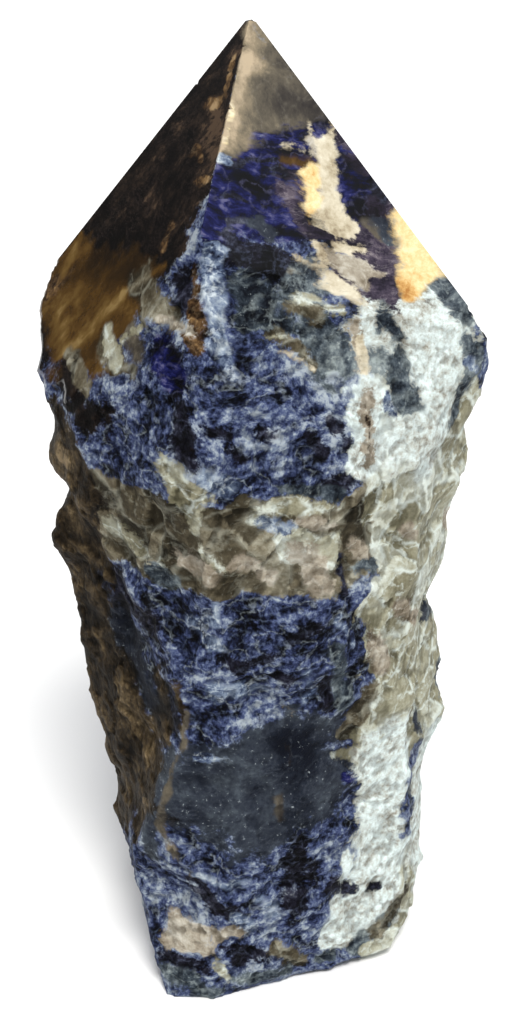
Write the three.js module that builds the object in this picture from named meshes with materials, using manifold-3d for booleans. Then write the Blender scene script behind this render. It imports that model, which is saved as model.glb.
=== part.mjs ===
// A rough sodalite point: one natural stone, hewn and broken all round, with four polished faces
// ground to a tip at its top. Millimetres, +Z up, standing on the flat spot of its broken base.
import * as THREE from "three";
import { ImprovedNoise } from "three/addons/math/ImprovedNoise.js";
import { mergeVertices } from "three/addons/utils/BufferGeometryUtils.js";
import Module from "manifold-3d";

// Driving dimensions
const HEIGHT = 150; // base to the blunted tip
const TIP = { x: -2.2, y: 0, z: 150.8 }; // where the four polished faces would meet
const ROUGH_TOP = 128; // above this height nothing rough is left

// The four polished faces. Turn is measured in plan from -Y towards +X, slope from the horizontal.
const POLISHED_FACES = {
  frontRight: { turn: 28.2, slope: 58.6 },
  frontLeft: { turn: -65.5, slope: 60.1 },
  backLeft: { turn: -150, slope: 56.5 },
  backRight: { turn: 112, slope: 57.6 },
};

// The edges that run up the rough block, in order round it from the front ridge towards +X.
// Each is a line of [height, x, y], straight between its points.
const EDGES = {
  frontRidge: [[0, -8, -32], [20, -6.5, -33], [44, -4, -33.5], [62, -5, -34.5], [72, -8, -35.5],
    [88, -10.5, -36], [96, -10.6, -35.3], [101, -10, -33.8], [105, -9.9, -32.2], [109, -9.6, -30],
    [112, -9.2, -27.8], [117, -9, -24.7], [120, -9.1, -23], [123.4, -9.2, -22.4], [128, -9, -21.5]],
  frontFace: [[0, 7, -26.2], [12, 7.5, -28], [28, 7, -29], [45, 7, -29.8], [60, 8, -31.5], [72, 9, -31.5],
    [85, 8.5, -30.3], [95, 8, -28.3], [102, 8, -25.7], [108, 8, -22.8], [114, 8, -20.3], [128, 7, -17]],
  rightEdge: [[0, 21.2, -22], [3, 22.3, -20.3], [8, 23.3, -18.5], [28, 22.5, -19], [42, 22.6, -19.5],
    [61, 22.4, -19], [77, 23, -19], [84, 24.3, -18.5], [97, 26, -17], [105, 27.5, -13.8], [109, 28, -12],
    [112, 27.7, -11.2], [128, 25, -8]],
  rightSide: [[0, 23.2, -13], [3, 25.5, -11.5], [9, 27, -9.5], [16, 25.8, -8], [29, 26.7, -6],
    [33, 27.7, -5.5], [38, 29.7, -5], [44, 28.8, -4], [49, 29.2, -4], [54, 27.1, -3], [59, 25.9, -3],
    [63, 27.2, -3], [66, 28.6, -3], [70, 28.5, -3.5], [74, 29, -4], [79, 31.4, -4], [89, 30.9, -5],
    [95, 33, -7], [101, 34.4, -8.5], [104, 33.6, -10], [108, 31, -10.2], [112, 29, -10], [128, 27, -6]],
  backRight: [[0, 18, 10], [15, 20, 12], [40, 23, 15], [58, 21.5, 17], [80, 26, 18], [98, 27, 19],
    [128, 24, 18]],
  back: [[0, 6, 19], [12, 7, 22], [35, 8, 27], [52, 6, 28], [75, 10, 33], [97, 9, 35], [128, 8, 30]],
  backLeft: [[0, -9, 15], [14, -11, 18], [36, -14, 22], [60, -13, 25], [84, -17, 27], [100, -17, 29],
    [128, -15, 26]],
  leftBack: [[0, -15, 1], [18, -20, 3], [40, -24, 7], [62, -25, 9], [82, -30, 11], [95, -34, 11.5],
    [103, -35.3, 12], [113, -34, 12.5], [128, -32, 12]],
  leftSide: [[0, -18.3, -14], [9, -21.6, -13], [21, -24.6, -10], [30, -24.8, -10], [36, -26.6, -9.5],
    [43, -28.8, -9], [55, -30.4, -9], [61, -31.6, -9], [66, -32.8, -9], [69.5, -34.2, -8],
    [75, -32.9, -9], [79.5, -31.3, -11], [84, -34, -8], [87, -33, -7], [91.5, -32.3, -6], [94, -35.2, -3],
    [101, -35.3, 2], [106, -35.2, 4], [112, -34.4, 6], [128, -32, 6]],
  scarHollow: [[0, -17.5, -23], [9, -20.5, -20], [19, -22, -18], [36, -21.5, -20], [50, -20, -21],
    [63, -22, -19], [71, -25.5, -17], [78, -29.5, -13], [80.5, -30.5, -15], [96, -30.5, -14.5],
    [112, -28, -11], [128, -26, -8]],
  scarEdge: [[0, -16, -31], [6, -18, -28], [19, -21.4, -24.5], [27, -20.3, -28], [36, -17.2, -32],
    [42, -14.3, -33], [50, -12.6, -33.5], [55, -13, -33], [63, -15.8, -30.5], [69, -19.9, -27.5],
    [74.6, -24.1, -22.5], [78, -27.5, -18.5], [81, -28.5, -18.5], [96, -24.5, -21.5], [104, -22.7, -20.2],
    [112, -20.5, -19], [128, -17, -16]],
};

// Chips, ledges and hollows of the break: the middle of each, its reach along x, y and z, and how far it
// stands out of the block. The minus ones go in.
const MARKS = [
  { at: [-32, -12, 80], reach: [6, 8, 2], out: -1.4 }, // notch in the left side
  { at: [29, -6, 37], reach: [6, 9, 3.5], out: 1.2 }, // knob low on the right side
  { at: [29, -6, 42.5], reach: [5, 9, 1.6], out: -1 }, // crack above the knob
  { at: [0, -32, 74], reach: [24, 14, 8], out: -1.3 }, // the smoky band, set back under the block above it
  { at: [8, -31, 70], reach: [8, 6, 2.2], out: 1.5 }, // flakes left standing on the band
  { at: [-18, -28, 74], reach: [6, 6, 3], out: 1.2 },
  { at: [-2, -34, 56], reach: [4, 6, 2.2], out: -1.6 }, // hollows under the band
  { at: [8, -32, 55], reach: [3, 6, 2], out: -1.5 },
  { at: [-15, -30, 28], reach: [3, 8, 8], out: 1.1 }, // ledge round the foot of the smooth window
  { at: [-12, -32, 3], reach: [5, 6, 5], out: 1 }, // blocks at the foot
  { at: [2, -28, 5], reach: [4, 6, 4], out: 0.9 },
];

// The smooth cleavage window low on the front, where the break is nearly flat.
const WINDOW = { at: [3, -32, 38], reach: [17, 12, 13] };

const CHIP_SIZE = 9; // how wide one break face of the rough stone is

// The flat spot that the stone stands on. Past its right and back edges the break rises from the ground.
const FLAT_SPOT = { right: 3, back: 9, rise: 0.09, most: 2.5 };
const FOOT_HEIGHT = 14; // the rise fades out over this height

const RING_STEP = 2.3; // between the rings of points up the block
const SIDE_POINTS = 6; // points from one edge to the next
const BASE_RINGS = 6; // rings of points across the base
const STRAY = 0.3; // how far a point strays from its even place, in steps

const noise = new ImprovedNoise();
const clamp01 = (v) => Math.min(1, Math.max(0, v));
const smooth = (v) => clamp01(v) ** 2 * (3 - 2 * clamp01(v));

// How near a point is to the middle of a mark, 1 at the middle and 0 far away.
function nearness({ at, reach }, x, y, z) {
  const [dx, dy, dz] = [(x - at[0]) / reach[0], (y - at[1]) / reach[1], (z - at[2]) / reach[2]];
  return Math.exp(-dx * dx - dy * dy - dz * dz);
}

// Where an edge line is at a height.
function edgeAt(line, z) {
  let i = 1;
  while (i < line.length - 1 && line[i][0] < z) i += 1;
  const [z0, x0, y0] = line[i - 1];
  const [z1, x1, y1] = line[i];
  const t = clamp01((z - z0) / (z1 - z0));
  return [x0 + (x1 - x0) * t, y0 + (y1 - y0) * t];
}

// A number from -1 to 1 that is always the same for the same cell.
function cellNumber(i, j, k, salt) {
  const s = Math.sin(i * 127.1 + j * 311.7 + k * 74.7 + salt * 53.3) * 43758.5453;
  return 2 * (s - Math.floor(s)) - 1;
}

// Break faces: space is split into irregular cells, and each cell sets back and tilts its own flat chip.
function chip(x, y, z, size, salt) {
  const [gx, gy, gz] = [x / size, y / size, z / size].map(Math.floor);
  let nearest = Infinity;
  let out = 0;
  for (let i = gx - 1; i <= gx + 1; i += 1)
    for (let j = gy - 1; j <= gy + 1; j += 1)
      for (let k = gz - 1; k <= gz + 1; k += 1) {
        const dx = x / size - i - 0.5 - 0.45 * cellNumber(i, j, k, salt);
        const dy = y / size - j - 0.5 - 0.45 * cellNumber(i, j, k, salt + 1);
        const dz = z / size - k - 0.5 - 0.45 * cellNumber(i, j, k, salt + 2);
        const distance = dx * dx + dy * dy + dz * dz;
        if (distance < nearest) {
          nearest = distance;
          out = 0.5 * cellNumber(i, j, k, salt + 3) + dx * cellNumber(i, j, k, salt + 4)
            + dy * cellNumber(i, j, k, salt + 5) + dz * cellNumber(i, j, k, salt + 6);
        }
      }
  return out;
}

// How far the broken surface stands out of the plain block, in millimetres.
function relief(x, y, z) {
  const swell = noise.noise(x / 21 + 3.1, y / 21, z / 26);
  const lumps = noise.noise(x / 7.5, y / 7.5 + 8.3, z / 7);
  const rough = 0.7 * lumps + 0.95 * chip(x, y, z, CHIP_SIZE, 1) + 0.4 * chip(x, y, z, CHIP_SIZE / 2, 11);
  const marks = MARKS.reduce((sum, mark) => sum + mark.out * nearness(mark, x, y, z), 0);
  return swell + rough * (1 - 0.85 * nearness(WINDOW, x, y, z)) + marks;
}

// The height of the broken base under a point.
function baseHeight(x, y) {
  const past = Math.hypot(Math.max(0, x - FLAT_SPOT.right), Math.max(0, y - FLAT_SPOT.back));
  return Math.min(FLAT_SPOT.most, FLAT_SPOT.rise * past);
}

// The middle of the block at a height.
function middleAt(z) {
  const corners = Object.values(EDGES).map((line) => edgeAt(line, z));
  return [0, 1].map((axis) => corners.reduce((sum, corner) => sum + corner[axis], 0) / corners.length);
}

// A point of the broken surface, a share of the way from one edge to the next.
function surfacePoint(side, share, z) {
  const lines = Object.values(EDGES);
  const [x0, y0] = edgeAt(lines[side], z);
  const [x1, y1] = edgeAt(lines[(side + 1) % lines.length], z);
  const [mx, my] = middleAt(z);
  const x = x0 + (x1 - x0) * share;
  const y = y0 + (y1 - y0) * share;
  const out = 1 + relief(x, y, z) / Math.hypot(x - mx, y - my);
  const [px, py] = [mx + (x - mx) * out, my + (y - my) * out];
  return [px, py, z + baseHeight(px, py) * (1 - smooth(z / FOOT_HEIGHT))];
}

// One ring of points round the block. Between the base and the top each point strays a little.
function ringAt(z, row, stray) {
  return Object.keys(EDGES).flatMap((_, side) =>
    Array.from({ length: SIDE_POINTS }, (__, k) => {
      const along = stray * (k === 0 ? clamp01(cellNumber(side, 0, row, 31)) : cellNumber(side, k, row, 31));
      const up = stray * RING_STEP * cellNumber(side, k, row, 32);
      return surfacePoint(side, (k + along) / SIDE_POINTS, z + up);
    }));
}

// The rough block as a closed mesh: its broken base, its side, and a flat top that is ground away later.
function roughBlock() {
  const foot = ringAt(0, 0, 0);
  const [footX, footY] = middleAt(0);
  const rings = [];
  for (let i = 1; i <= BASE_RINGS; i += 1) {
    const share = i / (BASE_RINGS + 1);
    rings.push(foot.map(([x, y]) => {
      const [px, py] = [footX + (x - footX) * share, footY + (y - footY) * share];
      return [px, py, baseHeight(px, py)];
    }));
  }
  rings.push(foot);
  const rows = Math.round(ROUGH_TOP / RING_STEP);
  for (let i = 1; i <= rows; i += 1) rings.push(ringAt((ROUGH_TOP * i) / rows, i, STRAY));
  rings.push(ringAt(ROUGH_TOP, 0, 0).map(([x, y]) => [x, y, TIP.z + 1]));

  const round = foot.length;
  const points = [[footX, footY, 0], ...rings.flat(), [...middleAt(ROUGH_TOP), TIP.z + 1]];
  const last = points.length - 1;
  const span = (a, b) => Math.hypot(...points[a].map((v, axis) => v - points[b][axis]));
  const faces = [];
  for (let k = 0; k < round; k += 1) {
    const next = (k + 1) % round;
    faces.push(0, 1 + next, 1 + k);
    for (let r = 0; r < rings.length - 1; r += 1) {
      const [a, b] = [1 + r * round + k, 1 + r * round + next];
      const [c, d] = [b + round, a + round];
      if (span(a, c) < span(b, d)) faces.push(a, b, c, a, c, d);
      else faces.push(a, b, d, b, c, d);
    }
    faces.push(last, last - round + k, last - round + next);
  }
  const block = new THREE.BufferGeometry();
  block.setAttribute("position", new THREE.Float32BufferAttribute(points.flat(), 3));
  block.setIndex(faces);
  return block;
}

// What a polished face leaves: a great cube whose top lies on the plane of the face.
function groundSpace({ turn, slope }) {
  const size = 4 * HEIGHT;
  const cube = new THREE.BoxGeometry(size, size, size);
  cube.translate(0, 0, -size / 2);
  cube.rotateX(THREE.MathUtils.degToRad(slope));
  cube.rotateZ(THREE.MathUtils.degToRad(turn));
  cube.translate(TIP.x, TIP.y, TIP.z);
  return cube;
}

// What blunting the tip leaves.
function bluntSpace() {
  const size = 4 * HEIGHT;
  return new THREE.BoxGeometry(size, size, size).translate(0, 0, HEIGHT - size / 2);
}

const wasm = await Module();
wasm.setup();

function solidFrom(geometry) {
  const bare = geometry.clone();
  bare.deleteAttribute("normal");
  bare.deleteAttribute("uv");
  const merged = mergeVertices(bare, 1e-4);
  return new wasm.Manifold(new wasm.Mesh({
    numProp: 3,
    vertProperties: merged.attributes.position.array,
    triVerts: new Uint32Array(merged.index.array),
  }));
}

function geometryFrom(solid) {
  const mesh = solid.getMesh();
  const geometry = new THREE.BufferGeometry();
  geometry.setAttribute("position", new THREE.BufferAttribute(new Float32Array(mesh.vertProperties), 3));
  geometry.setIndex(new THREE.BufferAttribute(new Uint32Array(mesh.triVerts), 1));
  return geometry;
}

let stone = solidFrom(roughBlock());
for (const face of Object.values(POLISHED_FACES)) stone = stone.intersect(solidFrom(groundSpace(face)));
stone = stone.intersect(solidFrom(bluntSpace()));

const geometry = geometryFrom(stone);
geometry.computeVertexNormals();

// The origin is on the surface the stone stands on, under the middle of its outer box.
geometry.computeBoundingBox();
const middle = geometry.boundingBox.getCenter(new THREE.Vector3());
geometry.translate(-middle.x, -middle.y, 0);

const sodalite = new THREE.MeshStandardMaterial({ color: 0x5a5f7c, roughness: 0.6, metalness: 0 });
const point = new THREE.Mesh(geometry, sodalite);
point.name = "sodalite_point";

const model = new THREE.Group();
model.add(point);
export default model;
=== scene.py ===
import math

import bmesh
import bpy
import numpy as np
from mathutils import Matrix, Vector, noise
from mathutils.bvhtree import BVHTree


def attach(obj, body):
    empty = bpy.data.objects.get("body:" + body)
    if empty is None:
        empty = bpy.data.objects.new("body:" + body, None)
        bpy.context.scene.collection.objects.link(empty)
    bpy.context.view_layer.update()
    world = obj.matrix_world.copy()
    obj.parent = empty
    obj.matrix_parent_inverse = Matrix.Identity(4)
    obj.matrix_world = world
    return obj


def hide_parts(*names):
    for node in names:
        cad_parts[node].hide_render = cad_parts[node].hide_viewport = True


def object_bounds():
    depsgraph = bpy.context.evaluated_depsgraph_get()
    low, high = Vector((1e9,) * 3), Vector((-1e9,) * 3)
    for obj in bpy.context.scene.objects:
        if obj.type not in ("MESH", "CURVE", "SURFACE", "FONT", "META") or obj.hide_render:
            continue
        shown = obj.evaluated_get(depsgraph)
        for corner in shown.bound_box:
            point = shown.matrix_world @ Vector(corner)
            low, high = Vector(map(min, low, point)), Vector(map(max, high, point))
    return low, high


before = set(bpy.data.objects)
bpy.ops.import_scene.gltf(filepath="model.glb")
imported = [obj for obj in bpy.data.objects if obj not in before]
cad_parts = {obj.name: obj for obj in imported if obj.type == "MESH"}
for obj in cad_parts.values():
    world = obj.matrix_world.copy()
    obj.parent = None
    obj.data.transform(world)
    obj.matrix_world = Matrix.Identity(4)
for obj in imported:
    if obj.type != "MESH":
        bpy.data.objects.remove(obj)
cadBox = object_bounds()
mm = 0.001

# The stone's own mesh, in millimetres: how fine it is, and the polished faces that stay flat.
stone = {
    "node": "sodalite_point",
    "meshStep": 0.65,
    "weldGap": 0.001,
    "seed": 2,  # of the noise that bends the patterns and tears the edges of the patches
    "softening": 0.5,  # takes the flat chips' hard edges off, this much in each round
    "softeningRounds": 4,
    "softenedDepth": 0.6,  # only what is deeper than this under the polished faces is softened
    "grindDepth": 0.25,  # what is less than this under a polished face is ground onto it
    "edgeReach": 0.46,  # and what is this near to two of them goes onto their edge
    "polishRim": (-0.12, -0.01),  # the polish fades out from the second to the first of these depths
    "sharpAngle": 40,
    "tip": (-1.05, 0.62, 150.8),  # where the four polished faces would meet
    "polishedFaces": {  # turn in plan from -Y towards +X, slope from the horizontal, in degrees
        "frontRight": (28.2, 58.6),
        "frontLeft": (-65.5, 60.1),
        "backLeft": (-150.0, 56.5),
        "backRight": (112.0, 57.6),
    },
}

# What each mineral looks like. Colours are 0 to 255, from the darkest part of its pattern to the
# palest, and mix is how much of each field makes that pattern. Marks are drawn over it: a field, how
# strongly it shows, and its colour. Torn is how ragged the rims of its patches are, 1 where it isn't
# given. Tones are how much its shards and its chips differ from each other. Relief is how high its
# lumps, shards, chips and grain stand and how deep its pits are, in that order, in millimetres.
minerals = {
    "web": {
        "mix": {"blotch": 0.6, "mottle": 0.6, "fine": 0.5},
        "colours": [(3, 4, 8), (12, 15, 28), (33, 40, 65),
                    (62, 72, 107), (106, 117, 139), (158, 167, 175)],
        "marks": [("net", 0.28, (116, 130, 156)), ("wisps", 0.4, (164, 174, 178))],
        "tones": (0.05, 0.06),
        "relief": (0.2, 0.3, 0.25, 0.12, 0.35),
    },
    "royal": {
        "mix": {"slant": 0.9, "blotch": 0.5, "mottle": 0.35},
        "colours": [(2, 2, 4), (4, 5, 11), (6, 8, 28),
                    (11, 15, 58), (32, 36, 88), (88, 88, 122)],
        "marks": [("wisps", 0.25, (104, 104, 138))],
        "tones": (0.03, 0.04),
        "relief": (0.2, 0.3, 0.2, 0.08, 0.15),
    },
    "dark": {
        "mix": {"blotch": 0.3, "mottle": 0.5, "fine": 0.3},
        "colours": [(2, 2, 3), (5, 5, 8), (12, 12, 20),
                    (26, 26, 38), (54, 56, 70), (96, 98, 104)],
        "marks": [("net", 0.1, (100, 108, 126)), ("wisps", 0.3, (84, 92, 116))],
        "tones": (0.04, 0.06),
        "relief": (0.2, 0.3, 0.25, 0.12, 0.5),
    },
    # Partly painted shade: this near-black brown is kept darker and browner than the stone's own colour,
    # for the shaded left side where it mostly lies.
    "duskAndShade": {
        "mix": {"rise": 0.55, "mottle": 0.4, "fine": 0.25},
        "colours": [(2, 2, 2), (6, 4, 5), (12, 9, 9),
                    (22, 17, 15), (42, 33, 27), (80, 64, 50)],
        "marks": [("hairs", 0.25, (72, 60, 56))],
        "tones": (0.03, 0.05),
        "relief": (0.2, 0.3, 0.2, 0.08, 0.3),
    },
    "slate": {
        "mix": {"blotch": 0.5, "mottle": 0.35, "fine": 0.25},
        "colours": [(16, 20, 30), (28, 33, 43), (41, 46, 56),
                    (54, 60, 69), (70, 77, 85), (100, 107, 112)],
        "marks": [("wisps", 0.15, (100, 108, 118)), ("specks", 0.9, (156, 164, 168))],
        "tones": (0.03, 0.03),
        "relief": (0.12, 0.12, 0.05, 0.03, 0.03),
    },
    "pewter": {
        "mix": {"blotch": 0.45, "mottle": 0.6, "fine": 0.35},
        "colours": [(12, 15, 22), (28, 34, 42), (50, 58, 66),
                    (78, 87, 94), (112, 121, 124), (156, 166, 164)],
        "marks": [("wisps", 0.4, (146, 156, 156)), ("rims", 0.3, (140, 150, 150)),
                  ("specks", 0.5, (168, 176, 176))],
        "tones": (0.05, 0.05),
        "relief": (0.2, 0.3, 0.2, 0.1, 0.2),
    },
    "smoky": {
        "mix": {"flakes": 0.55, "blotch": 0.3, "mottle": 0.15, "fine": 0.2},
        "colours": [(28, 25, 18), (44, 40, 30), (64, 58, 45),
                    (90, 83, 67), (124, 118, 100), (170, 167, 150)],
        "marks": [("rims", 0.45, (156, 155, 140)), ("wisps", 0.3, (150, 150, 136)),
                  ("specks", 0.3, (160, 160, 146))],
        "tones": (0.08, 0.04),
        "relief": (0.12, 0.9, 0.2, 0.04, 0.05),
    },
    "haze": {
        "mix": {"blotch": 0.25, "fibre": 0.2, "fine": 0.1},
        "colours": [(30, 27, 27), (48, 44, 42), (70, 65, 58),
                    (98, 91, 78), (140, 127, 105), (186, 168, 141)],
        "marks": [("wisps", 0.15, (140, 134, 122))],
        "torn": 0.4,
        "tones": (0.05, 0.04),
        "relief": (0.2, 0.5, 0.15, 0.04, 0.05),
    },
    "cloud": {
        "mix": {"flakes": 0.5, "blotch": 0.3, "mottle": 0.15, "fine": 0.25},
        "colours": [(92, 88, 68), (122, 118, 96), (148, 145, 123),
                    (170, 170, 152), (196, 200, 188), (222, 230, 224)],
        "marks": [("rims", 0.85, (212, 220, 212)), ("wisps", 0.5, (214, 223, 217))],
        "tones": (0.05, 0.04),
        "relief": (0.15, 0.6, 0.15, 0.04, 0.05),
    },
    "sugar": {
        "mix": {"blotch": 0.25, "mottle": 0.4, "fine": 0.5},
        "colours": [(126, 121, 108), (158, 156, 145), (188, 193, 186),
                    (206, 217, 214), (222, 235, 233), (237, 247, 247)],
        "marks": [("wisps", 0.5, (233, 244, 243))],
        "tones": (0.04, 0.04),
        "relief": (0.15, 0.12, 0.1, 0.14, 0.15),
    },
    "ice": {
        "mix": {"blotch": 0.3, "mottle": 0.5, "fine": 0.3, "net": 0.2},
        "colours": [(20, 24, 40), (62, 74, 100), (108, 122, 144),
                    (146, 158, 172), (182, 192, 198), (214, 222, 224)],
        "marks": [("wisps", 0.5, (214, 222, 224)), ("net", 0.3, (206, 216, 222))],
        "tones": (0.05, 0.06),
        "relief": (0.2, 0.25, 0.2, 0.12, 0.2),
    },
    "cream": {
        "mix": {"blotch": 0.35, "mottle": 0.45, "fine": 0.15},
        "colours": [(100, 88, 68), (144, 130, 106), (182, 170, 144),
                    (206, 196, 172), (222, 214, 192), (236, 231, 214)],
        "marks": [("specks", 0.3, (244, 240, 228))],
        "torn": 0.6,
        "tones": (0.05, 0.05),
        "relief": (0.2, 0.3, 0.15, 0.08, 0.08),
    },
    "taupe": {
        "mix": {"blotch": 0.35, "mottle": 0.45, "fine": 0.2, "flakes": 0.2},
        "colours": [(80, 70, 56), (112, 102, 86), (142, 132, 116),
                    (168, 160, 144), (194, 188, 174), (218, 214, 202)],
        "marks": [("wisps", 0.35, (214, 210, 198))],
        "tones": (0.06, 0.05),
        "relief": (0.2, 0.5, 0.15, 0.05, 0.06),
    },
    "plum": {
        "mix": {"slant": 0.7, "blotch": 0.35, "fine": 0.2},
        "colours": [(10, 8, 12), (22, 18, 27), (40, 34, 48),
                    (66, 58, 72), (104, 95, 104), (148, 140, 142)],
        "marks": [("hairs", 0.2, (150, 142, 146))],
        "tones": (0.03, 0.04),
        "relief": (0.2, 0.3, 0.2, 0.08, 0.15),
    },
    "rust": {
        "mix": {"blotch": 0.3, "mottle": 0.6, "fine": 0.3},
        "colours": [(8, 6, 5), (22, 15, 11), (44, 31, 20),
                    (76, 56, 36), (116, 90, 58), (164, 138, 102)],
        "marks": [("net", 0.25, (150, 128, 98))],
        "tones": (0.05, 0.06),
        "relief": (0.2, 0.3, 0.2, 0.12, 0.25),
    },
    "amber": {
        "mix": {"rise": 0.3, "blotch": 0.35},
        "colours": [(26, 17, 8), (40, 27, 10), (57, 39, 14),
                    (79, 56, 23), (106, 82, 42), (142, 118, 74)],
        "marks": [],
        "torn": 0.3,
        "tones": (0.02, 0.02),
        "relief": (0.1, 0.1, 0.08, 0.03, 0.02),
    },
    # Partly the stone's own pale gold, partly painted glint: the warm glints of the polished faces are
    # painted in this colour.
    "goldAndGlint": {
        "mix": {"mottle": 0.3, "fine": 0.3},
        "colours": [(170, 118, 60), (206, 162, 98), (228, 198, 140),
                    (240, 219, 168), (246, 231, 190), (250, 241, 212)],
        "marks": [],
        "torn": 0.4,
        "tones": (0.02, 0.02),
        "relief": (0.1, 0.1, 0.08, 0.05, 0.02),
    },
    # Partly painted shade: this brown is kept darker and browner than the stone's own colour, for the
    # shaded left side where it mostly lies.
    "scarAndShade": {
        "mix": {"fibre": 0.15, "flakes": 0.25, "blotch": 0.55, "mottle": 0.1, "fine": 0.35},
        "colours": [(8, 6, 4), (22, 17, 11), (42, 34, 23),
                    (64, 53, 37), (92, 78, 56), (134, 116, 88)],
        "marks": [("specks", 0.3, (130, 120, 100))],
        "tones": (0.06, 0.06),
        "relief": (0.3, 0.35, 0.15, 0.1, 0.2),
    },
}
paintedOver = list(minerals)[1:]  # each is painted over the ones before it, and "web" lies under all

# Planes of mineral that run right through the stone: a point in the plane, its normal, half its
# thickness and how ragged it is.
layers = [
    ("smoky", (0, 0, 79.5), (0.03, 0, 1), 7.5, 1.6),
    ("cloud", (25, 0, 70), (1, 0.1, 0.02), 11, 2.6),
]

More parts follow.
